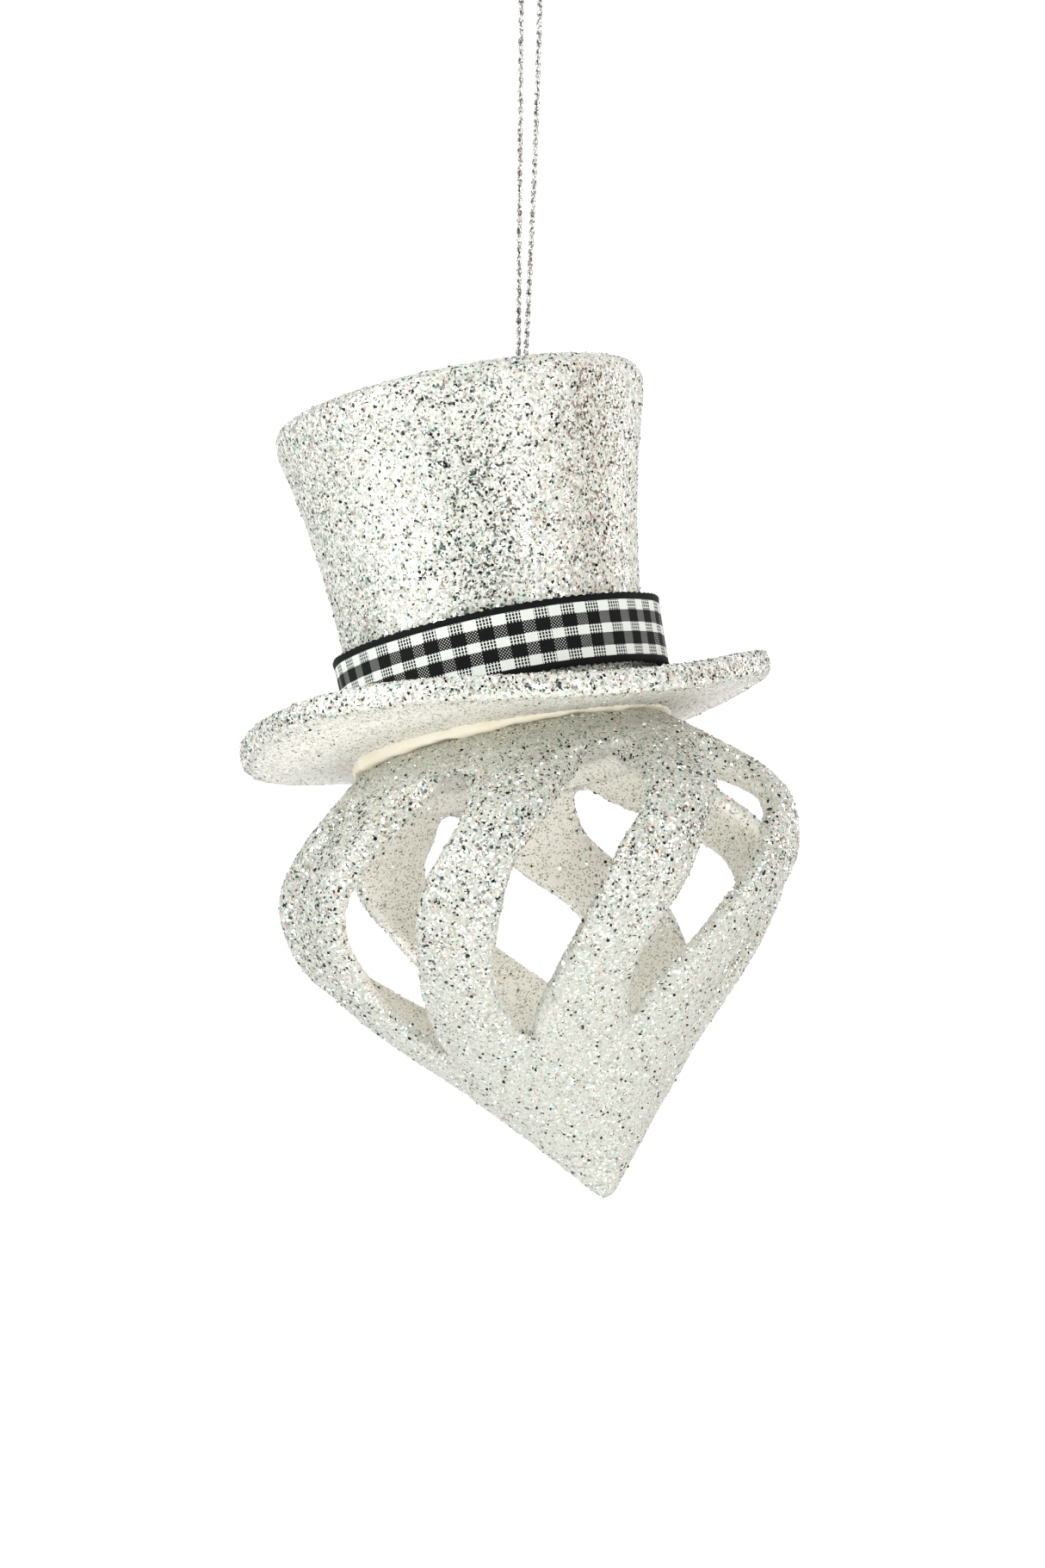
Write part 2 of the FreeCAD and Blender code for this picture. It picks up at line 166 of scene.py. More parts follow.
def length_along(line):
    """How far along a line of points each of them lies."""
    steps = np.linalg.norm(np.diff(line, axis=0), axis=1)
    return np.concatenate([[0], np.cumsum(steps)])


def joined(parts):
    """Points and faces of several parts, given as points and faces each."""
    points, faces, count = [], [], 0
    for more, polygons in parts:
        points.append(more)
        faces += [[i + count for i in f] for f in polygons]
        count += len(more)
    return np.concatenate(points), faces


def swelled_copy(node, swell):
    """Points and faces of a CAD node, its surface moved outwards by swell."""
    bm = bmesh.new()
    bm.from_mesh(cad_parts[node].data)
    bmesh.ops.remove_doubles(bm, verts=bm.verts, dist=SAME_POINT)
    bm.normal_update()
    points = np.array([v.co + v.normal * swell for v in bm.verts])
    faces = [[v.index for v in f.verts] for f in bm.faces]
    bm.free()
    return points, faces


def merged(nodes, voxel, rounds, swell=0.0):
    """One skin over CAD nodes, their gaps closed and edges rounded by rounds of smoothing."""
    holder = bpy.data.objects.new("holder", mesh_of(*joined(swelled_copy(node, swell)
                                                            for node in nodes)))
    bpy.context.scene.collection.objects.link(holder)
    remesh = holder.modifiers.new("remesh", "REMESH")
    remesh.mode = "VOXEL"
    remesh.voxel_size = voxel
    smooth = holder.modifiers.new("smooth", "SMOOTH")
    smooth.factor = SMOOTHING
    smooth.iterations = rounds
    graph = bpy.context.evaluated_depsgraph_get()
    mesh = bpy.data.meshes.new_from_object(holder.evaluated_get(graph))
    old = holder.data
    bpy.data.objects.remove(holder)
    bpy.data.meshes.remove(old)
    return mesh


def grained(mesh, grain, seed, swell=0.0):
    """Moves the skin outwards by swell and roughens it by random steps of about a grain.

    Gives the points without their grain, and the directions outwards.
    """
    random = np.random.default_rng(seed)
    points, out = vertices(mesh), normals(mesh)
    smooth_points = points + out * swell
    steps = random.uniform(-1, 1, (len(points), 3)) * grain
    steps += out * random.uniform(*GRAIN_OUTWARDS, (len(points), 1)) * grain
    move_to(mesh, smooth_points + steps)
    shade_smooth(mesh)
    return smooth_points, out


def tube(line, radius, sides, closed=False):
    """Points and faces of a round tube along a line of points."""
    line = np.asarray(line, float)
    if closed:
        along = unit(np.roll(line, -1, 0) - np.roll(line, 1, 0))
    else:
        along = unit(np.gradient(line, axis=0))
    side = np.cross(along[0], SOME_WAY)
    angles = np.arange(sides) * FULL_TURN / sides
    rings = []
    for here, ahead in zip(line, along):
        side = side - ahead * (side @ ahead)
        side /= np.linalg.norm(side)
        other = np.cross(ahead, side)
        rings.append(here + radius * (np.outer(np.cos(angles), side)
                                      + np.outer(np.sin(angles), other)))
    count = len(line)
    faces = []
    for i in range(count if closed else count - 1):
        j = (i + 1) % count
        for k in range(sides):
            m = (k + 1) % sides
            faces.append([i * sides + k, i * sides + m, j * sides + m, j * sides + k])
    if not closed:
        faces.append(list(range(sides))[::-1])
        faces.append([(count - 1) * sides + k for k in range(sides)])
    return np.concatenate(rings), faces


# ---------------------------------------------------------------- nodes

class Nodes:
    """Short names for building the nodes of a material or world."""

    def __init__(self, owner):
        owner.use_nodes = True
        self.owner = owner
        self.tree = owner.node_tree

    def add(self, kind, inputs=(), **settings):
        node = self.tree.nodes.new("ShaderNode" + kind)
        for key, value in settings.items():
            setattr(node, key, value)
        self.fill(node, dict(inputs))
        return node

    def fill(self, node, inputs):
        for key, value in inputs.items():
            if isinstance(value, bpy.types.NodeSocket):
                self.tree.links.new(value, node.inputs[key])
            else:
                node.inputs[key].default_value = value

    def shader(self, **values):
        """Sets the material's shader, by its sockets' names with _ for a space."""
        inputs = {key.replace("_", " "): value for key, value in values.items()}
        self.fill(self.tree.nodes["Principled BSDF"], inputs)

    def math(self, operation, a, b=0.0):
        return self.add("Math", {0: a, 1: b}, operation=operation).outputs[0]

    def vector(self, operation, a, b=(0, 0, 0)):
        return self.add("VectorMath", {0: a, 1: b}, operation=operation).outputs

    def scaled(self, vector, scale):
        return self.add("VectorMath", {0: vector, "Scale": scale}, operation="SCALE").outputs[0]

    def ramp(self, factor, stops, interpolation="CONSTANT"):
        node = self.add("ValToRGB", {0: factor})
        node.color_ramp.interpolation = interpolation
        elements = node.color_ramp.elements
        while len(elements) < len(stops):
            elements.new(1.0)
        for element, (position, colour) in zip(elements, stops):
            element.position = position
            element.color = (*colour, 1)
        return node.outputs["Color"]

    def mix(self, factor, a, b, blend="MIX"):
        node = self.add("Mix", {0: factor, 6: a, 7: b}, data_type="RGBA", blend_type=blend)
        return node.outputs[2]

    def mapped(self, value, span, low, high):
        """From low to high as the value crosses the span."""
        return self.add("MapRange", {0: value, 1: span[0], 2: span[1], 3: low, 4: high}).outputs[0]

    def attribute(self, name):
        return self.add("Attribute", attribute_name=name).outputs["Fac"]

    def parts(self, colour):
        return self.add("SeparateColor", {0: colour}).outputs

    def place(self):
        return self.add("TexCoord").outputs["Object"]

    def cells(self, scale):
        """Random colour of each cell of a Voronoi pattern."""
        return self.add("TexVoronoi", {"Vector": self.place(), "Scale": scale}).outputs["Color"]

    def noise(self, scale, detail):
        return self.add("TexNoise", {"Vector": self.place(), "Scale": scale,
                                     "Detail": detail}).outputs["Fac"]

    def bump(self, strength, distance, height):
        return self.add("Bump", {"Strength": strength, "Distance": distance,
                                 "Height": height}).outputs[0]


def material_nodes(name):
    return Nodes(bpy.data.materials.new(name))


def grey(value):
    return (value, value, value)


# ---------------------------------------------------------------- glitter material

# Each colour list gives the colour from a share of the flakes or grains on.
FOIL_TONES = [(0.0, grey(0.03)), (0.17, (0.60, 0.60, 0.55)), (0.30, (0.88, 0.89, 0.85)),
              (0.70, (0.98, 0.98, 0.95))]
HAT_GROUND = [(0.0, (0.42, 0.42, 0.36)), (0.12, (0.64, 0.65, 0.58)), (0.40, (0.74, 0.75, 0.68)),
              (0.80, (0.84, 0.85, 0.79))]
CAGE_GROUND = [(0.0, (0.40, 0.40, 0.35)), (0.12, (0.53, 0.54, 0.48)), (0.45, (0.61, 0.62, 0.56)),
               (0.85, (0.71, 0.72, 0.67))]
# The pale fine grain's specks and cream are its own; its bright tone is painted light that makes
# up for the shade inside the cage and under the brim.
PAINTED_LIGHT_PALE_TONES = [(0.0, (0.24, 0.21, 0.17)), (0.07, (0.62, 0.58, 0.50)), (0.19, (0.95, 0.93, 0.85)),
              (0.55, (0.98, 0.97, 0.90)), (0.90, (1.0, 1.0, 0.97))]
TINTS = [(0.0, (1, 1, 1)), (0.74, (0.66, 0.94, 0.86)), (0.84, (1.0, 0.78, 0.73)),
         (0.91, (0.88, 0.74, 0.58)), (0.97, (0.78, 0.88, 1.0))]
FLAKE_TONES = [(0.0, grey(0.03)), (0.15, (0.60, 0.60, 0.55)), (0.30, (0.90, 0.90, 0.86)),
               (0.7, grey(1.0))]
FLAKE_ROUGHNESS = 0.2
FINE_CELL = 0.62
FINE_SHARE = 0.45
PATCH_SCALE, PATCH_DETAIL = 170.0, 2.0
PATCH_SPAN = (0.3, 0.7)
PATCH_CROWD = (0.6, 1.4)
CALM_CROWD = 0.35
PALE_TILT = 0.35
COAT_ROUGHNESS = 0.2


def make_glitter(name, cell, share, tilt, ground, ground_roughness, foil_roughness, coat):
    """Foil flakes about a cell wide, in all directions, on a share of a whitish ground.

    Where the surface is pale it has a fine even grain instead, brighter as painted light for the
    shade inside and underneath, and where it is calm few flakes.
    """
    n = material_nodes(name)
    coarse = n.cells(1 / cell)
    fine = n.cells(1 / (cell * FINE_CELL))
    is_coarse = n.math("GREATER_THAN", n.parts(coarse)["Blue"], FINE_SHARE)
    flakes = n.mix(is_coarse, fine, coarse)
    random = n.parts(flakes)

    pale = n.attribute("pale")
    crowd = n.mapped(n.noise(PATCH_SCALE, PATCH_DETAIL), PATCH_SPAN,
                     *(share * part for part in PATCH_CROWD))
    crowd = n.math("MULTIPLY", crowd, n.math("SUBTRACT", 1.0, pale))
    calm_part = n.mapped(n.attribute("calm"), (0.0, 1.0), 1.0, CALM_CROWD)
    crowd = n.math("MULTIPLY", crowd, calm_part)
    foil = n.math("LESS_THAN", random["Red"], crowd)

    flake = n.mix(1.0, n.ramp(random["Green"], FOIL_TONES), n.ramp(random["Blue"], TINTS),
                  "MULTIPLY")
    # The pale grain, its brightness painted light for the shade it lies in.
    powder_and_painted_light = n.ramp(n.parts(fine)["Red"], PAINTED_LIGHT_PALE_TONES)
    between = n.mix(pale, n.ramp(random["Green"], ground), powder_and_painted_light)

    most_lean = n.mapped(pale, (0.0, 1.0), tilt, tilt * PALE_TILT)
    lean = n.scaled(n.vector("SUBTRACT", flakes, grey(0.5))[0], most_lean)
    normal = n.vector("ADD", n.add("NewGeometry").outputs["Normal"], lean)[0]
    n.shader(Base_Color=n.mix(foil, between, flake), Normal=n.vector("NORMALIZE", normal)[0],
             Roughness=n.mapped(foil, (0.0, 1.0), ground_roughness, foil_roughness),
             Metallic=foil, Coat_Weight=coat, Coat_Roughness=COAT_ROUGHNESS)
    return n.owner


def make_flake_material():
    n = material_nodes("glitter_flakes")
    tone = n.ramp(n.attribute("tone"), FLAKE_TONES)
    tint = n.ramp(n.attribute("tint"), TINTS)
    n.shader(Base_Color=n.mix(1.0, tone, tint, "MULTIPLY"), Metallic=1.0,
             Roughness=FLAKE_ROUGHNESS)
    return n.owner


# ---------------------------------------------------------------- cord and glue materials

STRIP_SCALE = 3600.0
STRIP_TONES = [(0.0, (0.16, 0.14, 0.13)), (0.28, (0.45, 0.43, 0.41)),
               (0.55, (0.78, 0.77, 0.75)), (0.8, grey(0.95))]
STRIP_DEPTH = 0.08 * MM
GLUE_SCALE, GLUE_DETAIL = 420.0, 3.0
# The glue's own cream colour, lightened as painted light against the shade between brim and cage.
GLUE_TONES_LIGHTENED = [(0.3, (0.90, 0.82, 0.65)), (0.7, (0.94, 0.90, 0.78))]
GLUE_DEPTH = 0.3 * MM
# The glue's emission is painted light: it glows though it is no lamp.
GLUE_PAINTED_GLOW = 0.08


def make_cord_material():
    n = material_nodes("twisted_foil")
    strip = n.parts(n.cells(STRIP_SCALE))["Red"]
    n.shader(Base_Color=n.ramp(strip, STRIP_TONES), Metallic=0.9, Roughness=0.28,
             Normal=n.bump(strength=0.6, distance=STRIP_DEPTH, height=strip))
    return n.owner


def make_glue_material():
    """Cream hot-melt glue, which glows a little: painted light that stands in for the light
    passing through it in the shade between brim and cage.
    """
    n = material_nodes("set_glue")
    cloud = n.noise(GLUE_SCALE, GLUE_DETAIL)
    # The lightened cream feeds both the colour and the painted glow.
    colour = n.ramp(cloud, GLUE_TONES_LIGHTENED, "LINEAR")
    n.shader(Base_Color=colour, Roughness=0.42, Emission_Color=colour,
             Emission_Strength=GLUE_PAINTED_GLOW,
             Normal=n.bump(strength=0.5, distance=GLUE_DEPTH, height=cloud))
    return n.owner


# ---------------------------------------------------------------- ribbon material

# The weave is laid out in mm, along the ribbon and across it.
RIBBON_WIDTH = 10.0
CHECK = 4.1
WHITE_FROM = 0.54
THREAD_PITCH = 0.47
BLACK, WHITE = (0.006, 0.006, 0.007), (0.82, 0.85, 0.82)
WARP_BANDS = [(0.0, BLACK), (0.10, WHITE), (0.25, BLACK), (0.43, WHITE), (0.57, BLACK),
              (0.75, WHITE), (0.90, BLACK)]
IS_WHITE = 0.4
DOT_HEIGHT = 0.58
DASH_HEIGHTS = (-0.5, -0.75)
SELVEDGE_FROM = 0.40
THREAD_DEPTH = 0.06 * MM
WAVE_SHARE = 0.4


def make_ribbon_material():
    """Gingham: black and white warp bands and weft checks, thread over thread.

    The weft shows as dots on the black warp and as dashes on the white, but not at the selvedges.
    """
    n = material_nodes("gingham")
    place = n.add("SeparateXYZ", {0: n.add("UVMap", uv_map="weave").outputs[0]}).outputs
    across = n.math("DIVIDE", place["Y"], RIBBON_WIDTH)
    warp = n.ramp(across, WARP_BANDS)
    step = n.math("FRACT", n.math("DIVIDE", place["X"], CHECK))
    weft = n.ramp(step, [(0.0, BLACK), (WHITE_FROM, WHITE)])
    waves, rows = (n.math("SINE", n.math("MULTIPLY", place[way], FULL_TURN / THREAD_PITCH))
                   for way in "XY")
    dots = n.math("GREATER_THAN", n.math("MULTIPLY", waves, rows), DOT_HEIGHT)
    dashes = n.math("MULTIPLY", n.math("GREATER_THAN", waves, DASH_HEIGHTS[0]),
                    n.math("GREATER_THAN", rows, DASH_HEIGHTS[1]))
    on_white = n.math("GREATER_THAN", warp, IS_WHITE)
    on_top = n.add("Mix", {0: on_white, 2: dots, 3: dashes}).outputs[0]
    from_middle = n.math("ABSOLUTE", n.math("SUBTRACT", across, 0.5))
    selvedge = n.math("GREATER_THAN", from_middle, SELVEDGE_FROM)
    weft_shows = n.math("MULTIPLY", on_top, n.math("SUBTRACT", 1.0, selvedge))
    height = n.math("ADD", on_top, n.math("MULTIPLY", waves, WAVE_SHARE))
    n.shader(Base_Color=n.mix(weft_shows, warp, weft), Roughness=0.7, Specular_IOR_Level=0.12,
             Normal=n.bump(strength=0.5, distance=THREAD_DEPTH, height=height))
    return n.owner


# ---------------------------------------------------------------- cord

CORD_DIAMETER = 0.8 * MM
# The route's points in the XZ plane, in mm, as in the CAD.
CORD_ROUTE = [(-1.92, -60.62), (-1.47, -5.0), (-1.43, 0.0), (1.43, 0.0), (1.29, -5.0),
              (0.55, -31.0), (-0.92, -60.62)]
SPLINE_ORDER = 3
SPLINE_RESOLUTION = 160
PLY_RADIUS = CORD_DIAMETER / 4
PLY_PITCH = 3.0 * MM
PLY_STEP = 0.16 * MM
PLY_SIDES = 10
KNOT_POINTS = 120
KNOT_SIZE = 0.33 * MM
KNOT_DEPTH = 1.3
KNOT_CORD_RADIUS = 0.42 * MM
KNOT_SIDES = 12


def spline_line(points):
    """Points along the smooth NURBS spline over a route."""
    curve = bpy.data.curves.new("route", "CURVE")
    curve.dimensions = "3D"
    curve.resolution_u = SPLINE_RESOLUTION
    spline = curve.splines.new("NURBS")
    spline.points.add(len(points) - 1)
    for point, place in zip(spline.points, points):
        point.co = (*place, 1)
    spline.order_u = SPLINE_ORDER
    spline.use_endpoint_u = True
    holder = bpy.data.objects.new("route", curve)
    mesh = bpy.data.meshes.new_from_object(holder)
    line = vertices(mesh)
    bpy.data.objects.remove(holder)
    bpy.data.curves.remove(curve)
    bpy.data.meshes.remove(mesh)
    return line


def evenly(line, step):
    """How far along a line its evenly spaced points lie, and those points."""
    gone = length_along(line)
    at = np.linspace(0, gone[-1], int(gone[-1] / step) + 1)
    return at, np.stack([np.interp(at, gone, line[:, k]) for k in range(3)], axis=1)


def make_cord(material):
    line = spline_line([(x * MM, 0, z * MM) for x, z in CORD_ROUTE])
    gone, fine = evenly(line, PLY_STEP)
    across = np.cross(unit(np.gradient(fine, axis=0)), Y_AXIS)
    plies = []
    for start in (0, FULL_TURN / 2):
        angle = gone / PLY_PITCH * FULL_TURN + start
        offset = np.cos(angle)[:, None] * across + np.sin(angle)[:, None] * Y_AXIS
        plies.append(tube(fine + offset * PLY_RADIUS, PLY_RADIUS, PLY_SIDES))
    cord = new_piece("twisted_cord", mesh_of(*joined(plies)), "hanging_loop",
                     material)
    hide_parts("hanging_cord")


def make_knot(material):
    """The cord's overhand knot over the hole, as a trefoil."""
    t = np.linspace(0, FULL_TURN, KNOT_POINTS, endpoint=False)
    turns = np.stack([np.sin(t) + 2 * np.sin(2 * t), np.cos(t) - 2 * np.cos(2 * t),
                      -KNOT_DEPTH * np.sin(3 * t)], axis=1) * KNOT_SIZE
    skin = tube(turns + np.array(PIVOT), KNOT_CORD_RADIUS, KNOT_SIDES, closed=True)
    knot = new_piece("cord_knot_turns", mesh_of(*skin), "cord_knot", material)
    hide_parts("exit_knot")


# ---------------------------------------------------------------- glitter flakes

FLAKE_SIDES = 6
FLAKE_THICKNESS = 0.04 * MM
FLAKE_LEVELS = (-0.02, 0.12)


def scatter(name, mesh, points, out, number, sizes, tilt, seed, material, weight):
    """Six-sided flakes of some sizes in mm, stuck in the surface at random angles.

    There are more of them where the weight, one value for each point, is higher.
    """
    random = np.random.default_rng(seed)
    mesh.calc_loop_triangles()
    corners = np.empty(len(mesh.loop_triangles) * 3, np.int32)
    mesh.loop_triangles.foreach_get("vertices", corners)
    corners = corners.reshape(-1, 3)
    a, b, c = (points[corners[:, k]] for k in range(3))
    area = np.linalg.norm(np.cross(b - a, c - a), axis=1) * weight[corners].mean(axis=1)
    chosen = corners[random.choice(len(area), number, p=area / area.sum())]
    share = random.dirichlet((1, 1, 1), number)[:, :, None]
    centre = (share * points[chosen]).sum(axis=1)
    normal = (share * out[chosen]).sum(axis=1)
    normal = unit(normal + random.normal(0, tilt, normal.shape))
    side = unit(np.cross(normal, random.normal(0, 1, normal.shape)))
    other = np.cross(normal, side)
    radius = random.uniform(*sizes, number) * MM / 2
    centre += normal * random.uniform(*FLAKE_LEVELS, (number, 1)) * MM
    angles = np.arange(FLAKE_SIDES) * FULL_TURN / FLAKE_SIDES
    rim = (np.cos(angles)[None, :, None] * side[:, None] + np.sin(angles)[None, :, None]
           * other[:, None]) * radius[:, None, None]
    half = normal[:, None] * FLAKE_THICKNESS / 2
    rims = np.concatenate([centre[:, None] + rim + half, centre[:, None] + rim - half], axis=1)

    ring = list(range(FLAKE_SIDES))
    shape = [ring, [k + FLAKE_SIDES for k in reversed(ring)]]
    for k in ring:
        after = (k + 1) % FLAKE_SIDES
        shape.append([k, k + FLAKE_SIDES, after + FLAKE_SIDES, after])
    count = 2 * FLAKE_SIDES
    faces = [[count * i + k for k in face] for i in range(number) for face in shape]
    flakes = mesh_of(rims.reshape(-1, 3), faces, smooth=False)
    add_attribute(flakes, "tone", np.repeat(random.random(number), count))
    add_attribute(flakes, "tint", np.repeat(random.random(number), count))
    new_piece(name, flakes, ORNAMENT, material)


# ---------------------------------------------------------------- crown

# Its top is a little out of level about the cord's hole, and flared. Heights are in mm in the
# crown's own frame, and the top's changes grow between the two.
CROWN_TOP_FROM, CROWN_TOP_FULL = 20, 46
CROWN_TOP_SLOPE = 0.035
CROWN_TOP_SPREAD = 0.02
CROWN_TOP_SHIFT = 0.2 * MM
CORD_HOLE_OFFSET = 9.93 * MM
INSIDE_RADIUS = 20.5 * MM
TOP_LEVEL = 46.4 * MM
FLAKE_FREE = 3.3 * MM
CROWN_FLAKES = [(12, (0.24, 0.38)), (13, (0.30, 0.60))]


def make_crown(material, flakes):
    mesh = merged(["crown_shell"], voxel=0.42 * MM, rounds=3)
    place = local(IN_CROWN, vertices(mesh))
    high = faded(place[:, 2] / MM, CROWN_TOP_FROM, CROWN_TOP_FULL) ** 2
    place[:, 2] += CROWN_TOP_SLOPE * (place[:, 0] - CORD_HOLE_OFFSET) * high
    place[:, :2] *= 1 + CROWN_TOP_SPREAD * high[:, None]
    place[:, 0] += CROWN_TOP_SHIFT * high
    move_to(mesh, in_object(IN_CROWN, place))
    points, out = grained(mesh, grain=0.07 * MM, seed=11)
    crown = new_piece("hat_crown", mesh, ORNAMENT, material)
    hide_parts("crown_shell")

    place = local(IN_CROWN, points)
    height, reach = place[:, 2], np.hypot(*place[:, :2].T)
    outside = ((height > 0) & (reach > INSIDE_RADIUS) | (height > TOP_LEVEL)).astype(float)
    outside *= np.linalg.norm(points - np.array(PIVOT), axis=1) > FLAKE_FREE
    for k, (seed, sizes) in enumerate(CROWN_FLAKES, 1):
        scatter("crown_flakes_%d" % k, mesh, points, out, number=9500, sizes=sizes, tilt=0.30,
                seed=seed, material=flakes, weight=outside)


# ---------------------------------------------------------------- brim

# Radii are in mm.
BRIM_RADIUS = 38.7
BRIM_WAVE = 0.9
BRIM_BEND_RADIUS = 260 * MM
BRIM_BEND_TURN = math.radians(28)
FILL_END, FILL_FULL = 34, 24
# Where the underside gets the pale grain, brightened as painted light.
PALE_END, PALE_FULL = 38.2, 36.7
TOP_FLAKES, RIM_FLAKES = (22, 0.35), (36, 1.3)
UNDER_FLAKES_LESS = 0.85


def make_brim(material, flakes):
    """The brim with a wavy rim, its underside filled out near the glue."""
    mesh = merged(["hat_brim"], voxel=0.45 * MM, rounds=14)
    place = local(IN_BRIM, vertices(mesh))
    reach = np.hypot(*place[:, :2].T) / MM
    angle = np.arctan2(place[:, 1], place[:, 0])
    wave = (reach / BRIM_RADIUS) ** 3 * (np.cos(3 * angle) - np.cos(angle))
    place[:, 2] += BRIM_WAVE * MM * wave
    bent = place[:, 0] * math.cos(BRIM_BEND_TURN) + place[:, 1] * math.sin(BRIM_BEND_TURN)
    filled = faded(normals(mesh) @ up_axis(IN_BRIM), 0, -0.5) * faded(reach, FILL_END, FILL_FULL)
    place[:, 2] -= filled * bent ** 2 / (2 * BRIM_BEND_RADIUS)
    move_to(mesh, in_object(IN_BRIM, place))
    points, out = grained(mesh, swell=0.3 * MM, grain=0.08 * MM, seed=21)
    # The underside gets its own fine pale grain, brightened as painted light for the shade under
    # the brim.
    under = faded(out @ up_axis(IN_BRIM), -0.1, -0.6)
    add_attribute(mesh, "pale", under * faded(reach, PALE_END, PALE_FULL))
    brim = new_piece("hat_brim_rim", mesh, ORNAMENT, material)
    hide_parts("hat_brim")

    reach = np.hypot(*local(IN_BRIM, points)[:, :2].T) / MM
    weight = sum(np.where(reach > start, more, 0.0) for start, more in (TOP_FLAKES, RIM_FLAKES))
    scatter("brim_flakes", mesh, points, out, number=8000, sizes=(0.28, 0.52), tilt=0.36,
            seed=22, material=flakes,
            weight=weight * (1 - UNDER_FLAKES_LESS * under))


# ---------------------------------------------------------------- cage

# Depths are in mm below the glue line. A point faces 1 on the outside, 0 on a rib's edge and -1
# on the inside.
# The PALE values mark the inside faces that get the pale grain, brightened as painted light for
# the shade inside the cage.
PALE_AT_EDGE, PALE_RISE = 0.3, 1.3
PALE_DEPTH = 52
CALM_DEPTHS = (28, 44)
THIN_DEPTHS, THIN_LEAST = (40, 26), 0.25
TOP_DEPTHS, TOP_LEAST = (2, 8), 0.2
INSIDE_FACING, INSIDE_LEAST = (-0.75, 0.25), 0.12
ON_AXIS = 1e-9
CAGE_FLAKES = [(32, (0.26, 0.46)), (33, (0.34, 0.66))]


def make_cage(material, flakes):
    mesh = merged(CAGE_NODES, voxel=0.5 * MM, rounds=4, swell=0.2 * MM)
    points, out = grained(mesh, swell=-0.27 * MM, grain=0.09 * MM, seed=31)
    place = local(IN_ORNAMENT, points)
    depth = -place[:, 2] / MM
    outwards = in_object(IN_ORNAMENT, place * (1, 1, 0)) - in_object(IN_ORNAMENT, place * 0)
    outwards /= np.maximum(np.linalg.norm(outwards, axis=1), ON_AXIS)[:, None]
    facing = (out * outwards).sum(axis=1)
    # Inward-facing faces get the pale grain, brightened as painted light for the shade inside the
    # cage.
    inner = np.clip(PALE_AT_EDGE - facing * PALE_RISE, 0, 1)
    add_attribute(mesh, "pale", inner * (depth < PALE_DEPTH))
    add_attribute(mesh, "calm", faded(depth, *CALM_DEPTHS))
    cage = new_piece("spiral_cage", mesh, ORNAMENT, material)
    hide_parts(*CAGE_NODES)

    weight = faded(depth, *THIN_DEPTHS, THIN_LEAST) * faded(facing, *INSIDE_FACING, INSIDE_LEAST)
    weight *= faded(depth, *TOP_DEPTHS, TOP_LEAST)
    for k, (seed, sizes) in enumerate(CAGE_FLAKES, 1):
        scatter("cage_flakes_%d" % k, mesh, points, out, number=9900, sizes=sizes, tilt=0.38,
                seed=seed, material=flakes, weight=weight)


# ---------------------------------------------------------------- glue line

GLUE_SWELL = 0.1
# How many lumps go round, how high they are in mm, and where they start.
GLUE_LUMPS = [(7, 0.16, 1.1), (13, 0.12, 0.0), (29, 0.08, 0.0)]


def make_glue(material):
    mesh = merged(["glue_seam"], voxel=0.4 * MM, rounds=6)
    points, out = vertices(mesh), normals(mesh)
    place = local(IN_ORNAMENT, points)
    angle = np.arctan2(place[:, 1], place[:, 0])
    lumps = sum(height * np.sin(count * angle + start) for count, height, start in GLUE_LUMPS)
    move_to(mesh, points + out * ((GLUE_SWELL + lumps) * MM)[:, None])
    shade_smooth(mesh)
    bead = new_piece("glue_bead", mesh, ORNAMENT, material)
    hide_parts("glue_seam")


# ---------------------------------------------------------------- ribbon

# All in mm, in the ribbon's own frame.
RIBBON_RADIUS = 23.2
RIBBON_HALF = 0.15
RIBBON_SHIFT = 0.45
RIBBON_LIFT = 1.0
RIBBON_START, RIBBON_END = math.radians(62), math.radians(84)
RIBBON_STEP = 0.5
RIBBON_ROWS = 15
RIBBON_SPLAY = 0.045
SCALLOP, SCALLOP_PITCH = 0.13, 1.4
SELVEDGE, SELVEDGE_SHARE = 0.10, 0.15
# Each wave's height, turn in radians per mm and start.
RIBBON_WAVES = [(0.10, 0.21, 0.6), (0.05, 0.63, 0.0)]
WANDER_SHARE = 0.4


def ribbon_plan():
    """Centre line of the ribbon from above, with its outward directions."""
    middle = RIBBON_RADIUS + RIBBON_HALF
    ring = np.arange(RIBBON_START, FULL_TURN, RIBBON_STEP / middle)
    lap = np.arange(0, RIBBON_END, RIBBON_STEP / (middle + RIBBON_LIFT))
    places, outs = [], []
    for angles, lift in ((ring, 0), (lap, RIBBON_LIFT)):
        out = np.stack([np.sin(angles), -np.cos(angles)], axis=1)
        places.append(out * (middle + lift) + (RIBBON_SHIFT, lift))
        outs.append(out)
    return np.concatenate(places), np.concatenate(outs)


def ribbon_faces(count, levels):
    """Faces of a strip of two sheets, each of levels rows of count points."""
    def at(hand, row, i):
        return (hand * levels + row) * count + i

    top = levels - 1
    faces = []
    for i in range(count - 1):
        for row in range(top):
            faces.append([at(0, row, i), at(0, row, i + 1), at(0, row + 1, i + 1),
                          at(0, row + 1, i)])
            faces.append([at(1, row, i + 1), at(1, row, i), at(1, row + 1, i),
                          at(1, row + 1, i + 1)])
        faces.append([at(0, top, i), at(0, top, i + 1), at(1, top, i + 1), at(1, top, i)])
        faces.append([at(1, 0, i), at(1, 0, i + 1), at(0, 0, i + 1), at(0, 0, i)])
    for i, flip in ((0, 1), (count - 1, -1)):
        for row in range(top):
            face = [at(0, row, i), at(0, row + 1, i), at(1, row + 1, i), at(1, row, i)]
            faces.append(face[::flip])
    return faces


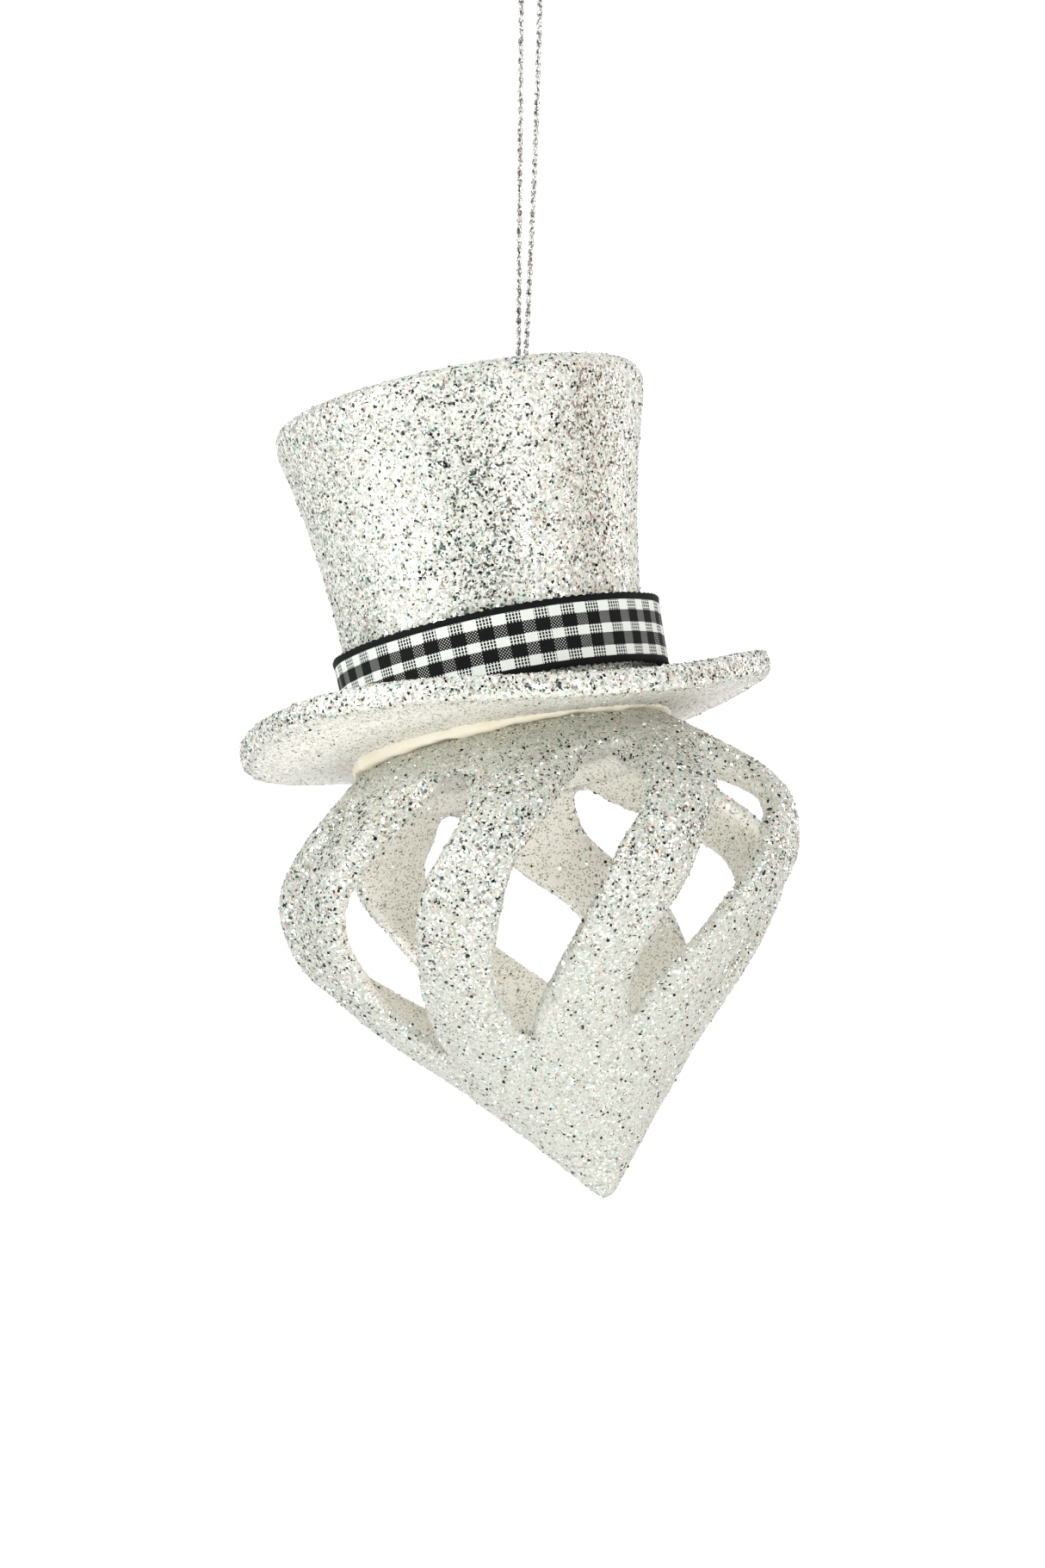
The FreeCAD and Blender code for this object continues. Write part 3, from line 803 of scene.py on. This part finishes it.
def make_ribbon(material):
    centre, out = ribbon_plan()
    gone = length_along(centre)
    scallop = SCALLOP * np.sin(gone * FULL_TURN / SCALLOP_PITCH)
    wander = sum(size * np.sin(gone * rate + start) for size, rate, start in RIBBON_WAVES)
    rows, weave = [], []
    for hand in (1, -1):
        for height in np.linspace(0, RIBBON_WIDTH, RIBBON_ROWS):
            from_middle = height - RIBBON_WIDTH / 2
            edge = abs(from_middle) * 2 / RIBBON_WIDTH
            bead = SELVEDGE * max(0.0, (edge - 1) / SELVEDGE_SHARE + 1)
            off = (from_middle * RIBBON_SPLAY + wander * (WANDER_SHARE + edge)
                   + hand * (RIBBON_HALF + bead))
            level = height + scallop * (edge == 1) * np.sign(from_middle)
            rows.append(np.column_stack([centre + out * off[:, None], level]))
            weave.append(np.column_stack([gone, np.full_like(gone, height)]))
    points = in_object(IN_RIBBON, np.concatenate(rows) * MM)
    weave = np.concatenate(weave)
    mesh = mesh_of(points, ribbon_faces(len(gone), RIBBON_ROWS))
    layer = mesh.uv_layers.new(name="weave")
    corners = np.empty(len(mesh.loops), np.int32)
    mesh.loops.foreach_get("vertex_index", corners)
    layer.data.foreach_set("uv", weave[corners].ravel().astype(np.float32))
    ribbon = new_piece("hat_ribbon", mesh, ORNAMENT, material)
    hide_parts("ribbon_band")


# ---------------------------------------------------------------- studio

FLOOR_RADIUS, FLOOR_SIDES, FLOOR_LEVEL = 8.5, 96, -0.95
FLOOR_COLOUR = (0.93, 0.93, 0.93, 1)
LIGHTS_AIM = (0, 0, -0.09)
# Each light's place, width and height in metres, power in watts and colour.
LIGHTS = {
    "key": ((-1.02, -0.37, 0.22), (0.36, 0.9), 8.2, (1, 1, 1)),
    "second": ((0.50, -0.85, -0.02), (0.16, 0.8), 3.8, (1.0, 0.985, 0.96)),
    "rim": ((0.88, 0.50, 0.0), (0.30, 0.9), 1.6, (1.0, 0.97, 0.94)),
    "under": ((0.0, -0.1, -0.66), (1.4, 1.4), 1.4, (1, 1, 0.98)),
    "front_low": ((0.05, -0.80, -0.50), (0.9, 0.4), 1.0, (1, 1, 0.98)),
}
WORLD_STRENGTH = 0.96
BACKDROP_STRENGTH = 1.05
# Dark parts of the studio that the flakes mirror: direction, where it starts and where it is
# full as cosines from that direction, and colour.
SHADES = [((-0.34, -0.94, 0.0), 0.66, 0.90, (0.045, 0.075, 0.065)),
          ((-0.80, 0.60, 0.0), 0.72, 0.95, (0.66, 0.67, 0.65)),
          ((0.99, -0.10, 0.0), 0.72, 0.90, (0.22, 0.13, 0.10))]


def make_floor():
    bm = bmesh.new()
    bmesh.ops.create_circle(bm, cap_ends=True, radius=FLOOR_RADIUS, segments=FLOOR_SIDES)
    mesh = bpy.data.meshes.new("floor")
    bm.to_mesh(mesh)
    bm.free()
    floor = bpy.data.objects.new("floor", mesh)
    floor.location = (0, 0, FLOOR_LEVEL)
    bpy.context.scene.collection.objects.link(floor)
    n = material_nodes("floor_paint")
    n.shader(Base_Color=FLOOR_COLOUR, Roughness=0.9)
    mesh.materials.append(n.owner)


def make_lights():
    for name, (place, size, power, colour) in LIGHTS.items():
        data = bpy.data.lights.new(name, "AREA")
        data.shape = "RECTANGLE"
        data.size, data.size_y = size
        data.energy = power
        data.color = colour
        light = bpy.data.objects.new(name, data)
        bpy.context.scene.collection.objects.link(light)
        light.visible_camera = False
        light.location = place
        towards = Vector(LIGHTS_AIM) - Vector(place)
        light.rotation_euler = towards.to_track_quat("-Z", "Y").to_euler()


def make_world():
    """A white backdrop, and a pale studio with dark parts that lights the object."""
    n = Nodes(bpy.data.worlds.new("studio"))
    bpy.context.scene.world = n.owner
    way = n.add("TexCoord").outputs["Generated"]
    light = (1, 1, 1, 1)
    for direction, start, end, dark in SHADES:
        towards = n.vector("DOT_PRODUCT", way, direction)["Value"]
        shade = n.ramp(towards, [(start, grey(1.0)), (end, dark)], "LINEAR")
        light = n.mix(1.0, light, shade, "MULTIPLY")
    studio = n.tree.nodes["Background"]
    n.fill(studio, {"Color": light, "Strength": WORLD_STRENGTH})
    backdrop = n.add("Background", {"Color": (1, 1, 1, 1), "Strength": BACKDROP_STRENGTH})
    seen = n.add("LightPath").outputs["Is Camera Ray"]
    mix = n.add("MixShader", {0: seen, 1: studio.outputs[0], 2: backdrop.outputs[0]})
    n.fill(n.tree.nodes["World Output"], {"Surface": mix.outputs[0]})


# ---------------------------------------------------------------- making

make_camera()
cord_material = make_cord_material()
glue_material = make_glue_material()
make_cord(cord_material)
make_knot(cord_material)
flake_material = make_flake_material()
hat_material = make_glitter("hat_glitter", cell=0.38 * MM, share=0.36, tilt=0.65,
                            ground=HAT_GROUND, ground_roughness=0.5, foil_roughness=0.22,
                            coat=0.6)
cage_material = make_glitter("cage_glitter", cell=0.34 * MM, share=0.28, tilt=0.70,
                             ground=CAGE_GROUND, ground_roughness=0.55, foil_roughness=0.25,
                             coat=0.2)
make_crown(hat_material, flake_material)
make_brim(hat_material, flake_material)
make_cage(cage_material, flake_material)
make_glue(glue_material)
make_ribbon(make_ribbon_material())
for node, material in (("inner_knot", cord_material), ("cord_tails", cord_material),
                       ("ribbon_glue_dab", glue_material)):
    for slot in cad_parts[node].material_slots:
        slot.material = material
make_floor()
make_lights()
make_world()
bpy.context.scene.view_settings.view_transform = "Standard"
bpy.context.scene.view_settings.look = "None"
